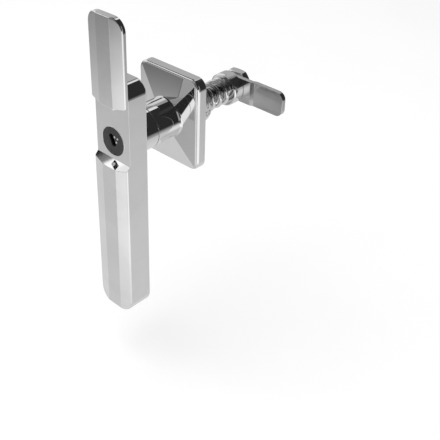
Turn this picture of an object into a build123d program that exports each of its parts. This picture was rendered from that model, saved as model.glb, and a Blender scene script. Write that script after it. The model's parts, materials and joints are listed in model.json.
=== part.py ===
"""Electronic cabinet lock with a lever handle, a sliding cover over its key face and a compression cam.

Millimetres. The origin is the centre of the rosette's back face, on the shaft axis. +Z is up, the
handle's front faces -Y and the shaft runs along +Y through the door. At rest the grip hangs down,
the cam points to +X, the cover is raised off the key face and the locking pin is drawn back.
"""

import os
from math import cos, pi, radians, sin, sqrt

from build123d import *

# how far a cut or a joined bar runs past the face that it starts from
OVERRUN = 1.0

# handle: a long bar with a three-facet front
HANDLE_WIDTH = 26.5
HANDLE_FRONT = -50.3
HANDLE_DEPTH = 15.7
HANDLE_TOP = 36.2
HANDLE_BOTTOM = -113.0
CROWN_RISE = 1.65
FACET_WIDTH = 8.05
CORNER_RADIUS = 7.5
FRONT_EDGE_RADIUS = 0.8
BACK_EDGE_RADIUS = 1.4

# sliding cover on the upper front of the handle
RECESS_DEPTH = 2.3
SEAM_HEIGHT = -10.8
SEAM_SLOPE = 45.0
COVER_TRAVEL = 37.4
COVER_GAP = 0.12

# dovetail guide, always behind the cover
GUIDE_HEIGHT = 6.2
GUIDE_TOP_MARGIN = 1.0
GUIDE_ROOT_WIDTH = 8.8
GUIDE_TIP_WIDTH = 10.0
GUIDE_RISE = 2.3
GUIDE_GAP = 0.12
GUIDE_SCREW_SPACING = 5.8
GUIDE_SCREW_DIAMETER = 2.0
GUIDE_SCREW_GAP = 0.05
GUIDE_SCREW_REACH = 1.61
GUIDE_SCREW_TIP_GAP = 0.115
GUIDE_SCREW_HEAD = 3.8
GUIDE_SCREW_HEAD_GAP = 0.1
GUIDE_SCREW_SEAT = 3.0
GUIDE_SCREW_SUNK = 0.3
GUIDE_SOCKET_CORNERS = 1.5
GUIDE_SOCKET_DEPTH = 1.0
STOP_PLATE_THICKNESS = 1.0
STOP_PLATE_END = 1.1
STOP_PIN_DIAMETER = 1.0
STOP_PIN_SPACING = 11.8
STOP_PIN_LENGTH = 1.9
STOP_PIN_GAP = 0.05

# ball detent for the cover
BALL_DIAMETER = 2.4
BALL_REACH = 0.35
BALL_GAP = 0.05
BALL_RUN_GAP = 0.1
DETENT_SPRING_LENGTH = 5.0
DETENT_SPRING_GAP = 0.15
DETENT_WIRE = 0.35
DETENT_COILS = 6
DETENT_SEAT = 0.2

# catch tooth of the cover and its pocket in the ledge
CATCH_OFFSET = 3.1
CATCH_WIDTH = 4.4
CATCH_LENGTH = 1.9
CATCH_DEPTH = 1.9
CATCH_TURN = 18.0
CATCH_GAP = 0.2

# lock cylinder, on the shaft axis
PLUG_HEAD_DIAMETER = 17.0
PLUG_HEAD_LENGTH = 1.8
PLUG_DIAMETER = 12.9
PLUG_GAP = 0.05
PLUG_BEVEL = 0.25
SLEEVE_LENGTH = 14.2
SLEEVE_GAP = 0.05
KEYWAY_WIDTH = 3.6
KEYWAY_HEIGHT = 7.6
KEYWAY_CORNER = 1.0
KEYWAY_DEPTH = 6.5
KEYWAY_TILT = 24.0
KEYWAY_PLACE = (-0.5, 0.6)
CONTACT_DIAMETER = 0.9
CONTACT_LENGTH = 2.6
CONTACT_PROUD = 0.08
CONTACT_PLACES = ((1.3, 3.0), (3.6, 2.7), (2.7, 0.3))
BOARD_DIAMETER = 10.0
BOARD_THICKNESS = 0.8
BOARD_SETBACK = 1.0
CHIP_SIZE = 3.0
CHIP_HEIGHT = 0.7
CHIP_DROP = 2.0
CHIP_SUNK = 0.1
ACTUATOR_DIAMETER = 5.0
ACTUATOR_LENGTH = 4.2
ACTUATOR_RISE = 1.5
ACTUATOR_GAP = 0.1
PLUG_SOCKET_DIAMETER = 10.4

# plug tail and the locking pin that it drives
TAIL_DIAMETER = 13.8
TAIL_LENGTH = 6.4
TAIL_GAP = 0.1
TAIL_SPIGOT_LENGTH = 2.6
TAIL_SPIGOT_GAP = 0.05
TAIL_PIN_DIAMETER = 1.0
TAIL_PIN_MARGIN = 0.1
LOCK_PIN_DIAMETER = 2.4
LOCK_PIN_RADIUS = 10.5
LOCK_PIN_TRAVEL = 3.5
LOCK_PIN_GAP = 0.05
LOCK_PIN_HOLE = 2.7
LOCK_PIN_RETREAT = 0.2
LOCK_PIN_BEVEL = 0.3
FOLLOWER_DIAMETER = 1.6
FOLLOWER_REACH = 5.4
FOLLOWER_GAP = 0.08

# neck of the handle, turning in the rosette's boss
NECK_DIAMETER = 24.8
NECK_LENGTH = 9.0
SPIGOT_DIAMETER = 17.0
SPIGOT_GAP = 0.06
NECK_WASHER_THICKNESS = 0.4
CLIP_THICKNESS = 1.0
CLIP_GROOVE_DIAMETER = 15.2
CLIP_GAP = 0.06
CLIP_RADIAL_GAP = 0.25
CLIP_FRONT = -11.0
CLIP_OPENING = 6.0
SPIGOT_BACK = -8.7

# rosette on the door
ROSETTE_WIDTH = 46.9
ROSETTE_HEIGHT = 56.9
ROSETTE_EDGE = 5.9
ROSETTE_CORNER = 6.0
ROSETTE_LIP = 1.3
PYRAMID_RISE = 5.2
PYRAMID_TIP = 0.12
FLARE_RADIUS = 2.4
FLARE_FOOT = 1.6
GASKET_INSET = 4.0
GASKET_WIDTH = 3.0
GASKET_THICKNESS = 1.0
GASKET_GAP = 0.05
GASKET_CORNER = 1.4

# barrel through the door, cut back to the thread's core where the thread runs
BARREL_DIAMETER = 24.0
BARREL_LENGTH = 18.3
BARREL_BORE = 19.0
BARREL_FLAT_DEPTH = 0.8
BARREL_THREAD_HEIGHT = 0.7
DOOR_THICKNESS = 2.5
WASHER_RIM = 3.0
WASHER_THICKNESS = 1.2
WASHER_TEETH = 12
WASHER_TOOTH = 1.6
NUT_WALL = 3.0
NUT_THICKNESS = 5.0
NUT_CLEARANCE = 0.05
NUT_BEVEL_SLOPE = 0.6

# drive shaft and cam
SHAFT_DIAMETER = 11.0
SHAFT_SQUARE = 8.0
SHAFT_SQUARE_BEVEL = 0.5
SHAFT_GAP = 0.05
SQUARE_FRONT = -23.4
SQUARE_BACK = -8.4
STUD_DIAMETER = 10.0
STUD_FLATS = 8.0
STUD_THREAD_HEIGHT = 0.6
STUD_END = 58.2
SHOULDER = 42.6
CROSS_PIN_DIAMETER = 3.0
CROSS_PIN_LENGTH = 17.6
CROSS_PIN_PLACE = -6.2
COMPRESSION_TRAVEL = 4.0
HANDLE_SWING = 90.0
RAMP_BORE = 12.0
RAMP_BACK = 3.2
RAMP_CLEARANCE = 0.25
RAMP_WALL = 1.6
BUSH_SEAL_DEPTH = 2.6
BUSH_FLANGE_RIM = 0.8
BUSH_FLANGE_THICKNESS = 1.2
SEAL_CORD = 1.9
SEAL_GAP = 0.02
COLLAR_DIAMETER = 20.5
COLLAR_FRONT = 40.3
COLLAR_BEVEL = 0.6
CAM_FRONT = 47.6
CAM_THICKNESS = 2.9
CAM_WIDTH = 15.4
CAM_REACH = 39.2
CAM_TAIL = 8.6
CAM_CORNER = 4.6
CAM_TIP_START = 17.6
CAM_HUB_END = 15.2
CAM_JOGGLE = 0.9
CAM_NUT_FLATS = 17.0
CAM_NUT_THICKNESS = 5.0
CAM_WASHER_THICKNESS = 0.8
CAM_WASHER_DIAMETER = 16.0
CAM_WASHER_GAP = 0.1

# compression spring round the shaft
SPRING_DIAMETER = 17.0
SPRING_WIRE = 2.4
SPRING_TURNS = 4.2
SPRING_SEAT_GAP = 0.05

# ends of a wound spring: closed turns at each end, and how far apart they lie in wire diameters
COIL_CLOSED_TURNS = 0.75
COIL_LAY = 1.02
COIL_STEPS = 16

HANDLE_BACK = HANDLE_FRONT + HANDLE_DEPTH
RECESS = HANDLE_FRONT + RECESS_DEPTH
NECK_BACK = HANDLE_BACK + NECK_LENGTH
BOSS_FRONT = NECK_BACK + NECK_WASHER_THICKNESS
SLEEVE_FRONT = RECESS + PLUG_HEAD_LENGTH
SLEEVE_BACK = SLEEVE_FRONT + SLEEVE_LENGTH
TAIL_FRONT = SLEEVE_BACK + TAIL_GAP
TAIL_BACK = TAIL_FRONT + TAIL_LENGTH
GUIDE_TOP = HANDLE_TOP - GUIDE_TOP_MARGIN
GUIDE_BASE = GUIDE_TOP - GUIDE_HEIGHT
GUIDE_MIDDLE = (GUIDE_TOP + GUIDE_BASE) / 2
GUIDE_TIP = RECESS - GUIDE_RISE
STOP_PLATE_WIDTH = STOP_PIN_SPACING + 2 * STOP_PLATE_END
FOLLOWER_PLACE = TAIL_FRONT + (TAIL_LENGTH - LOCK_PIN_TRAVEL) / 2
BARREL_FLATS = BARREL_DIAMETER - 2 * BARREL_FLAT_DEPTH
BUSH_FLANGE_DIAMETER = BARREL_BORE + 2 * BUSH_FLANGE_RIM
WASHER_DIAMETER = BARREL_DIAMETER + 2 * WASHER_RIM
NUT_FLATS = BARREL_DIAMETER + 2 * NUT_WALL


def front_plane(y):
    """A sketch plane across the shaft at this depth, with its own y up."""
    return Plane.XZ.offset(-y)


def along_y(sketch, start, end):
    """The sketch, drawn as seen from the front, drawn out from one depth to another."""
    return extrude(front_plane(start) * sketch, amount=start - end)


def rod(diameter, start, end, x=0.0, z=0.0):
    """A round bar along the shaft direction."""
    return along_y(Pos(x, z) * Circle(diameter / 2), start, end)


def tube(outside, inside, start, end):
    """A round tube on the shaft axis."""
    return along_y(Circle(outside / 2) - Circle(inside / 2), start, end)


def block(x_span, y_span, z_span):
    """A box between pairs of limits."""
    size = [high - low for low, high in (x_span, y_span, z_span)]
    middle = [(high + low) / 2 for low, high in (x_span, y_span, z_span)]
    return Pos(*middle) * Box(*size)


def hexagon(flats, start, end, turn=0.0):
    """A hexagonal bar along the shaft, by its distance across flats, with bevelled ends."""
    corners = flats / sqrt(3)
    bar = along_y(RegularPolygon(corners, 6, rotation=turn), start, end)
    bevel = corners - flats / 2
    ends = Pos(0, (start + end) / 2, 0) * Rot(90, 0, 0) * Cylinder(corners, end - start)
    return bar & chamfer(ends.edges().filter_by(GeomType.CIRCLE), bevel * NUT_BEVEL_SLOPE, bevel)


def handle_section():
    """The bar's cross-section: flat middle facet, a sloped one each side, square back."""
    half = HANDLE_WIDTH / 2
    ridge = half - FACET_WIDTH
    crest = HANDLE_FRONT - CROWN_RISE
    return make_face(
        Polyline(
            (-half, HANDLE_FRONT),
            (-ridge, crest),
            (ridge, crest),
            (half, HANDLE_FRONT),
            (half, HANDLE_BACK),
            (-half, HANDLE_BACK),
            close=True,
        )
    )


def handle_blank():
    """The whole bar before the cover is parted from it, with rounded corners and edges."""
    height = HANDLE_TOP - HANDLE_BOTTOM
    bar = extrude(Pos(0, 0, HANDLE_BOTTOM) * handle_section(), amount=height)
    outline = Pos(0, (HANDLE_TOP + HANDLE_BOTTOM) / 2) * RectangleRounded(
        HANDLE_WIDTH, height, CORNER_RADIUS
    )
    bar &= along_y(outline, HANDLE_FRONT - 2 * CROWN_RISE, HANDLE_BACK)
    back = bar.faces().sort_by(Axis.Y)[-1]
    bar = fillet(back.edges(), BACK_EDGE_RADIUS)
    rim = [
        edge
        for edge in bar.edges()
        if edge.center().Y < HANDLE_FRONT + 0.01 and not is_ridge(edge)
    ]
    return fillet(rim, FRONT_EDGE_RADIUS)


def is_ridge(edge):
    """Whether the edge is one of the two long lines where the front facets meet."""
    middle = edge.center()
    return edge.length > HANDLE_WIDTH * 2 and abs(middle.X) < HANDLE_WIDTH / 2 - 1


def cover_space(gap=0.0):
    """The space in front of the recess and above the sloping seam."""
    back = RECESS - gap
    foot = SEAM_HEIGHT + gap * sqrt(2) - gap
    reach = RECESS_DEPTH + 3 * CROWN_RISE
    drop = reach * sin(radians(SEAM_SLOPE)) / cos(radians(SEAM_SLOPE))
    side = make_face(
        Polyline(
            (back, foot),
            (back - reach, foot - drop),
            (back - reach, HANDLE_TOP + reach),
            (back, HANDLE_TOP + reach),
            close=True,
        )
    )
    return extrude(Plane.YZ * side, amount=HANDLE_WIDTH, both=True)


def dovetail(root, tip, rise, low, high):
    """A dovetail bar up the handle, standing off the recess face."""
    section = make_face(
        Polyline(
            (-root / 2, RECESS),
            (-tip / 2, RECESS - rise),
            (tip / 2, RECESS - rise),
            (root / 2, RECESS),
            close=True,
        )
    )
    return extrude(Pos(0, 0, low) * section, amount=high - low)


def catch_outline(gap=0.0):
    """The catch tooth's outline seen from above, half way between the recess and the front."""
    middle = RECESS - (RECESS_DEPTH + CROWN_RISE) / 2
    outline = Rectangle(CATCH_WIDTH + gap, CATCH_LENGTH + gap)
    return Pos(CATCH_OFFSET, middle) * Rot(0, 0, -CATCH_TURN) * outline


def catch_block(outline, gap=0.0):
    """The catch tooth or its pocket, from below the ledge up into the cover."""
    low = SEAM_HEIGHT - RECESS_DEPTH - CROWN_RISE - CATCH_DEPTH / 2 + gap
    return extrude(Pos(0, 0, low) * outline, amount=SEAM_HEIGHT + OVERRUN - low)


def screw_places():
    """Where the two guide screws stand, left and right of the ball detent."""
    return [(side * GUIDE_SCREW_SPACING / 2, GUIDE_MIDDLE) for side in (-1, 1)]


def build_handle_body(blank):
    """The lever: bar, neck, spigot, and the bores along the shaft axis."""
    body = blank - cover_space()
    body += rod(NECK_DIAMETER, HANDLE_BACK - OVERRUN, NECK_BACK)
    body += rod(SPIGOT_DIAMETER, NECK_BACK, SPIGOT_BACK)
    body -= rod(PLUG_HEAD_DIAMETER + 2 * SLEEVE_GAP, RECESS, SLEEVE_BACK)
    body -= rod(TAIL_DIAMETER + 2 * TAIL_GAP, SLEEVE_BACK, TAIL_BACK + TAIL_GAP)
    square = Rectangle(SHAFT_SQUARE + 2 * SHAFT_GAP, SHAFT_SQUARE + 2 * SHAFT_GAP)
    body -= along_y(square, TAIL_BACK, SPIGOT_BACK)
    outside = SPIGOT_DIAMETER + OVERRUN
    body -= tube(outside, CLIP_GROOVE_DIAMETER, CLIP_FRONT, CLIP_FRONT + CLIP_THICKNESS)
    body -= lock_pin_bore()
    body -= catch_block(catch_outline(2 * CATCH_GAP))
    hole = GUIDE_SCREW_DIAMETER + 2 * GUIDE_SCREW_GAP
    sink = GUIDE_SCREW_HEAD + 2 * GUIDE_SCREW_HEAD_GAP
    for x, z in screw_places():
        body -= rod(hole, RECESS, HANDLE_BACK, x, z)
        body -= rod(sink, HANDLE_BACK - GUIDE_SCREW_SEAT, HANDLE_BACK, x, z)
    return body - ball_bore(RECESS, RECESS + DETENT_SPRING_LENGTH)


def ball_bore(start, end):
    """The bore for the detent ball and its spring, between two depths."""
    return rod(BALL_DIAMETER + 2 * BALL_GAP, start, end, 0, GUIDE_MIDDLE)


def lock_pin_bore():
    """The locking pin's bore in the neck, with the slot for its follower."""
    front = FOLLOWER_PLACE - LOCK_PIN_DIAMETER
    bore = rod(LOCK_PIN_DIAMETER + 2 * LOCK_PIN_GAP, front, NECK_BACK, 0, LOCK_PIN_RADIUS)
    half = FOLLOWER_DIAMETER / 2 + FOLLOWER_GAP
    slot = block(
        (-half, half),
        (FOLLOWER_PLACE - half, FOLLOWER_PLACE + LOCK_PIN_TRAVEL + half),
        (0, LOCK_PIN_RADIUS),
    )
    return bore + slot


def build_cover(blank):
    """The sliding cover: a shell cut from the bar's own front, with its dovetail groove."""
    cover = blank & cover_space(COVER_GAP)
    groove = dovetail(
        GUIDE_ROOT_WIDTH + 2 * GUIDE_GAP,
        GUIDE_TIP_WIDTH + 2 * GUIDE_GAP,
        GUIDE_RISE + GUIDE_GAP,
        SEAM_HEIGHT + GUIDE_GAP,
        GUIDE_TOP + GUIDE_GAP,
    )
    cover -= groove
    cover -= ball_run()
    cover -= stop_plate_space()
    tooth = catch_block(catch_outline(), CATCH_GAP)
    tooth -= block((-HANDLE_WIDTH, HANDLE_WIDTH), (RECESS - COVER_GAP, 0), (HANDLE_BOTTOM, 0))
    cover += tooth - groove - stop_plate_space()
    for side in (-1, 1):
        cover -= rod(STOP_PIN_DIAMETER, RECESS - STOP_PIN_LENGTH, RECESS, *stop_pin_place(side))
    return cover


def ball_run():
    """The shallow round-bottomed groove in the cover that the detent ball runs in."""
    floor = GUIDE_TIP - GUIDE_GAP
    run = Pos(0, floor, GUIDE_MIDDLE - COVER_TRAVEL / 2) * Cylinder(
        BALL_DIAMETER / 2 + BALL_RUN_GAP, COVER_TRAVEL + BALL_DIAMETER
    )
    return run & block(
        (-BALL_DIAMETER, BALL_DIAMETER),
        (floor - BALL_REACH - BALL_RUN_GAP, RECESS),
        (HANDLE_BOTTOM, HANDLE_TOP),
    )


def stop_plate_space():
    """The step in the cover's lower back that the stop plate fills."""
    half = STOP_PLATE_WIDTH / 2
    back = RECESS - COVER_GAP
    return block(
        (-half, half),
        (back - STOP_PLATE_THICKNESS, back + OVERRUN),
        (SEAM_HEIGHT - RECESS_DEPTH, stop_plate_top()),
    )


def build_stop_plate():
    """The plate that closes the groove's lower end, so the cover stops on the guide."""
    back = RECESS - COVER_GAP
    half = STOP_PLATE_WIDTH / 2 - GUIDE_GAP / 2
    plate = block(
        (-half, half),
        (back - STOP_PLATE_THICKNESS + GUIDE_GAP / 2, back),
        (SEAM_HEIGHT + GUIDE_GAP, stop_plate_top()),
    )
    hole = STOP_PIN_DIAMETER + 2 * STOP_PIN_GAP
    for side in (-1, 1):
        plate -= rod(hole, RECESS - STOP_PIN_LENGTH, RECESS, *stop_pin_place(side))
    return plate


def build_stop_pins():
    """The two pins, peened flush, that hold the stop plate to the cover."""
    back = RECESS - COVER_GAP
    return [
        rod(STOP_PIN_DIAMETER, RECESS - STOP_PIN_LENGTH, back, *stop_pin_place(side))
        for side in (-1, 1)
    ]


def stop_plate_top():
    """The height of the stop plate's upper edge on the lowered cover."""
    return GUIDE_BASE - COVER_TRAVEL - GUIDE_GAP / 2


def stop_pin_place(side):
    """Where the stop plate's pin on this side stands."""
    return side * STOP_PIN_SPACING / 2, (SEAM_HEIGHT + stop_plate_top()) / 2


def build_guide_block():
    """The dovetail block fixed to the bar's top, with screw threads and the ball's bore."""
    guide = dovetail(GUIDE_ROOT_WIDTH, GUIDE_TIP_WIDTH, GUIDE_RISE, GUIDE_BASE, GUIDE_TOP)
    for x, z in screw_places():
        guide -= rod(GUIDE_SCREW_DIAMETER, screw_tip() - GUIDE_SCREW_TIP_GAP, RECESS, x, z)
    return guide - ball_bore(GUIDE_TIP, RECESS)


def screw_tip():
    """The depth that the guide screws reach into the guide block."""
    return RECESS - GUIDE_SCREW_REACH


def build_guide_screws():
    """Two sunk socket screws from the handle's back into the guide block."""
    screws = []
    head_back = HANDLE_BACK - GUIDE_SCREW_SUNK
    head_front = HANDLE_BACK - GUIDE_SCREW_SEAT
    for x, z in screw_places():
        shank = rod(GUIDE_SCREW_DIAMETER, screw_tip(), head_front, x, z)
        head = rod(GUIDE_SCREW_HEAD, head_front, head_back, x, z)
        key = Pos(x, z) * RegularPolygon(GUIDE_SOCKET_CORNERS / 2, 6)
        screws.append(shank + head - along_y(key, head_back - GUIDE_SOCKET_DEPTH, head_back))
    return screws


def build_detent_ball():
    """The ball that the cover rides over at each end of its travel."""
    middle = GUIDE_TIP - BALL_REACH + BALL_DIAMETER / 2
    return Pos(0, middle, GUIDE_MIDDLE) * Sphere(BALL_DIAMETER / 2)


def coil(diameter, wire, length, turns, start, x=0.0, z=0.0):
    """A round-wire compression spring along the shaft direction, with its ends closed."""
    radius = (diameter - wire) / 2
    closed = COIL_CLOSED_TURNS
    rise = closed * wire * COIL_LAY
    spans = [(closed, rise), (turns - 2 * closed, length - wire - 2 * rise), (closed, rise)]
    points = []
    angle = 0.0
    depth = wire / 2
    for span_turns, rise in spans:
        steps = round(span_turns * COIL_STEPS)
        for step in range(steps):
            share = step / steps
            points.append((angle + span_turns * share, depth + rise * share))
        angle += span_turns
        depth += rise
    points.append((angle, depth))
    line = Spline(
        *[
            (x + radius * sin(2 * pi * turn), start + along, z + radius * cos(2 * pi * turn))
            for turn, along in points
        ]
    )
    section = Plane(origin=line @ 0, z_dir=line % 0) * Circle(wire / 2)
    return sweep(section, path=line, is_frenet=False)


def build_detent_spring():
    """The small spring behind the detent ball."""
    ball_back = GUIDE_TIP - BALL_REACH + BALL_DIAMETER
    start = ball_back - DETENT_SEAT
    length = RECESS + DETENT_SPRING_LENGTH - start
    diameter = BALL_DIAMETER - 2 * DETENT_SPRING_GAP
    return coil(diameter, DETENT_WIRE, length, DETENT_COILS, start, 0, GUIDE_MIDDLE)


def build_cylinder_sleeve():
    """The lock cylinder's fixed sleeve, pressed into the bar."""
    return tube(PLUG_HEAD_DIAMETER, PLUG_DIAMETER + 2 * PLUG_GAP, SLEEVE_FRONT, SLEEVE_BACK)


def keyway():
    """The key's opening: an upright slot with clipped corners, tilted a little to the left."""
    slot = chamfer(Rectangle(KEYWAY_WIDTH, KEYWAY_HEIGHT).vertices(), KEYWAY_CORNER)
    return Pos(*KEYWAY_PLACE) * Rot(0, 0, KEYWAY_TILT) * slot


def build_plug():
    """The turning plug: a flush round face with the keyway, and a body in the sleeve."""
    plug = rod(PLUG_HEAD_DIAMETER, RECESS, SLEEVE_FRONT - PLUG_GAP)
    plug = chamfer(plug.faces().sort_by(Axis.Y)[0].edges(), PLUG_BEVEL)
    plug += rod(PLUG_DIAMETER, SLEEVE_FRONT - PLUG_GAP, SLEEVE_BACK)
    plug -= along_y(keyway(), RECESS, RECESS + KEYWAY_DEPTH)
    for x, z in CONTACT_PLACES:
        plug -= rod(CONTACT_DIAMETER, RECESS, RECESS + CONTACT_LENGTH, x, z)
    plug -= rod(PLUG_SOCKET_DIAMETER, board_front(), SLEEVE_BACK)
    return plug - tail_pin_bar(PLUG_DIAMETER)


def build_contact_pins():
    """The three contacts that read the electronic key."""
    return [
        rod(CONTACT_DIAMETER, RECESS - CONTACT_PROUD, RECESS + CONTACT_LENGTH, x, z)
        for x, z in CONTACT_PLACES
    ]


def board_front():
    """The depth where the round circuit board starts inside the plug."""
    return RECESS + KEYWAY_DEPTH + BOARD_SETBACK


def build_circuit_board():
    """The round board behind the keyway, with its chip."""
    start = board_front()
    board = rod(BOARD_DIAMETER, start, start + BOARD_THICKNESS)
    half = CHIP_SIZE / 2
    top = start + BOARD_THICKNESS
    chip = block((-half, half), (top - CHIP_SUNK, top + CHIP_HEIGHT), (-half, half))
    return board + Pos(0, 0, -CHIP_DROP) * chip


def build_actuator():
    """The small motor that lets the plug turn once the key is read."""
    start = board_front() + BOARD_THICKNESS + CHIP_HEIGHT + ACTUATOR_GAP
    return rod(ACTUATOR_DIAMETER, start, start + ACTUATOR_LENGTH, 0, ACTUATOR_RISE)


def helical_cut(radius, depth, width, travel, start):
    """A quarter-turn channel round the shaft axis that climbs from +Z towards +X as it goes back."""
    path = Helix(
        pitch=travel * 360 / HANDLE_SWING,
        height=travel,
        radius=radius,
        center=(0, start, 0),
        direction=(0, 1, 0),
    )
    section = Plane(path @ 0, x_dir=(0, 0, 1), z_dir=(1, 0, 0)) * Rectangle(depth, width)
    return sweep(section, path=path, is_frenet=True)


def turned(shape, angle):
    """The shape turned about the shaft axis, positive from +Z towards +X."""
    return Rot(0, angle, 0) * shape


def tail_pin_bar(length):
    """The bar across the plug that pins its tail on."""
    place = TAIL_FRONT - TAIL_SPIGOT_LENGTH / 2
    return Pos(0, place, 0) * Rot(0, 90, 0) * Cylinder(TAIL_PIN_DIAMETER / 2, length)


def build_plug_tail():
    """The plug's tail: its helical groove drives the locking pin as the key turns."""
    spigot = PLUG_SOCKET_DIAMETER - 2 * TAIL_SPIGOT_GAP
    tail = rod(TAIL_DIAMETER, TAIL_FRONT, TAIL_BACK)
    tail += rod(spigot, TAIL_FRONT - TAIL_SPIGOT_LENGTH, TAIL_FRONT)
    outside = TAIL_DIAMETER / 2
    width = FOLLOWER_DIAMETER + 2 * FOLLOWER_GAP
    depth = 2 * (outside - FOLLOWER_REACH + FOLLOWER_GAP)
    tail -= helical_cut(outside, depth, width, LOCK_PIN_TRAVEL, FOLLOWER_PLACE)
    for angle, travel in ((0, 0), (HANDLE_SWING, LOCK_PIN_TRAVEL)):
        end = Pos(0, FOLLOWER_PLACE + travel, outside) * Cylinder(width / 2, depth)
        tail -= turned(end, angle)
    return tail - tail_pin_bar(PLUG_DIAMETER)


def build_tail_pin():
    """The pin through the plug and the tail's spigot."""
    return tail_pin_bar(PLUG_DIAMETER - 2 * TAIL_PIN_MARGIN)


def build_locking_pin():
    """The pin that locks the handle to the boss, with the follower that rides in the tail."""
    front = FOLLOWER_PLACE - LOCK_PIN_DIAMETER + LOCK_PIN_GAP
    pin = rod(LOCK_PIN_DIAMETER, front, NECK_BACK - LOCK_PIN_RETREAT, 0, LOCK_PIN_RADIUS)
    pin = chamfer(pin.faces().sort_by(Axis.Y)[-1].edges(), LOCK_PIN_BEVEL)
    reach = LOCK_PIN_RADIUS - FOLLOWER_REACH
    nub = Pos(0, FOLLOWER_PLACE, (LOCK_PIN_RADIUS + FOLLOWER_REACH) / 2)
    return pin + nub * Cylinder(FOLLOWER_DIAMETER / 2, reach)


def lock_pin_hole(back):
    """The locking pin's hole, from the neck's end face back to this depth."""
    return rod(LOCK_PIN_HOLE, NECK_BACK, back, 0, LOCK_PIN_RADIUS)


def build_neck_washer():
    """The thin sliding washer between the neck and the boss."""
    inside = SPIGOT_DIAMETER + 2 * SPIGOT_GAP
    return tube(NECK_DIAMETER, inside, NECK_BACK, BOSS_FRONT) - lock_pin_hole(BOSS_FRONT)


def build_neck_clip():
    """The open ring in the spigot's groove that keeps the handle in the boss."""
    outside = BARREL_BORE - 2 * CLIP_RADIAL_GAP
    inside = CLIP_GROOVE_DIAMETER + 2 * CLIP_GAP
    back = CLIP_FRONT + CLIP_THICKNESS
    ring = tube(outside, inside, CLIP_FRONT + CLIP_GAP, back - CLIP_GAP)
    return ring - block((-CLIP_OPENING / 2, CLIP_OPENING / 2), (CLIP_FRONT, back), (-outside, 0))


def rosette_plate():
    """The square plate with rounded corners and a soft front edge."""
    outline = RectangleRounded(ROSETTE_WIDTH, ROSETTE_HEIGHT, ROSETTE_CORNER)
    plate = along_y(outline, -ROSETTE_EDGE, 0)
    return fillet(plate.faces().sort_by(Axis.Y)[0].edges(), ROSETTE_LIP)


def rosette_pyramid():
    """The low four-sided rise from the plate's lip towards the shaft axis."""
    width = ROSETTE_WIDTH - 2 * ROSETTE_LIP
    height = ROSETTE_HEIGHT - 2 * ROSETTE_LIP
    base = front_plane(-ROSETTE_EDGE) * Rectangle(width, height)
    crest = -ROSETTE_EDGE - PYRAMID_RISE * (1 - PYRAMID_TIP)
    top = front_plane(crest) * Rectangle(width * PYRAMID_TIP, height * PYRAMID_TIP)
    outline = RectangleRounded(width, height, ROSETTE_CORNER - ROSETTE_LIP)
    return loft([base, top]) & along_y(outline, crest, -ROSETTE_EDGE)


def boss():
    """The round boss that the neck turns in, with a small flare where it meets the pyramid."""
    radius = NECK_DIAMETER / 2
    flare_back = -ROSETTE_EDGE - FLARE_FOOT
    flare_front = flare_back - FLARE_RADIUS
    foot = (radius + FLARE_RADIUS, flare_back)
    profile = make_face(
        [
            Line((0, BOSS_FRONT), (radius, BOSS_FRONT)),
            Line((radius, BOSS_FRONT), (radius, flare_front)),
            TangentArc((radius, flare_front), foot, tangent=(0, 1)),
            Line(foot, (0, flare_back)),
            Line((0, flare_back), (0, BOSS_FRONT)),
        ]
    )
    return revolve(profile, Axis.Y)


def build_rosette():
    """The rosette casting: plate, pyramid, boss and barrel in one piece."""
    casting = rosette_plate() + rosette_pyramid() + boss()
    casting += barrel()
    casting -= rod(SPIGOT_DIAMETER + 2 * SPIGOT_GAP, BOSS_FRONT, CLIP_FRONT)
    casting -= rod(BARREL_BORE, CLIP_FRONT, BARREL_LENGTH)
    casting -= rod(BUSH_FLANGE_DIAMETER, BARREL_LENGTH - BUSH_FLANGE_THICKNESS, BARREL_LENGTH)
    casting -= gasket_groove()
    hole = lock_pin_hole(BOSS_FRONT + LOCK_PIN_TRAVEL + 2 * LOCK_PIN_RETREAT)
    return casting - hole - turned(hole, HANDLE_SWING)


def barrel():
    """The barrel behind the plate, with a flat on each side against turning."""
    half = BARREL_FLATS / 2
    across = block((-half, half), (0, BARREL_LENGTH), (-BARREL_DIAMETER, BARREL_DIAMETER))
    core = BARREL_DIAMETER - 2 * BARREL_THREAD_HEIGHT
    plain = rod(BARREL_DIAMETER, 0, DOOR_THICKNESS)
    return across & (plain + rod(core, DOOR_THICKNESS, BARREL_LENGTH))


def gasket_outline(inset):
    """A rounded rectangle this far inside the plate's edge."""
    width = ROSETTE_WIDTH - 2 * inset
    height = ROSETTE_HEIGHT - 2 * inset
    return RectangleRounded(width, height, GASKET_CORNER)


def gasket_groove():
    """The groove in the rosette's back for its gasket."""
    ring = gasket_outline(GASKET_INSET) - gasket_outline(GASKET_INSET + GASKET_WIDTH)
    return along_y(ring, -GASKET_THICKNESS, 0)


def build_panel_gasket():
    """The rubber gasket that seals the rosette to the door."""
    outer = gasket_outline(GASKET_INSET + GASKET_GAP)
    inner = gasket_outline(GASKET_INSET + GASKET_WIDTH - GASKET_GAP)
    return along_y(outer - inner, -GASKET_THICKNESS, -GASKET_GAP)


def build_mounting_washer():
    """The toothed washer behind the door, keyed to the barrel's flats."""
    front = DOOR_THICKNESS
    back = front + WASHER_THICKNESS
    hole = Circle(BARREL_DIAMETER / 2 + NUT_CLEARANCE)
    hole &= Rectangle(BARREL_FLATS + 2 * NUT_CLEARANCE, BARREL_DIAMETER * 2)
    washer = along_y(Circle(WASHER_DIAMETER / 2) - hole, front, back)
    half = WASHER_TOOTH / 2
    notch = block((-half, half), (front, back), (WASHER_DIAMETER / 2 - WASHER_TOOTH, WASHER_DIAMETER))
    for tooth in range(WASHER_TEETH):
        washer -= turned(notch, 360 * tooth / WASHER_TEETH)
    return washer


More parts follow.
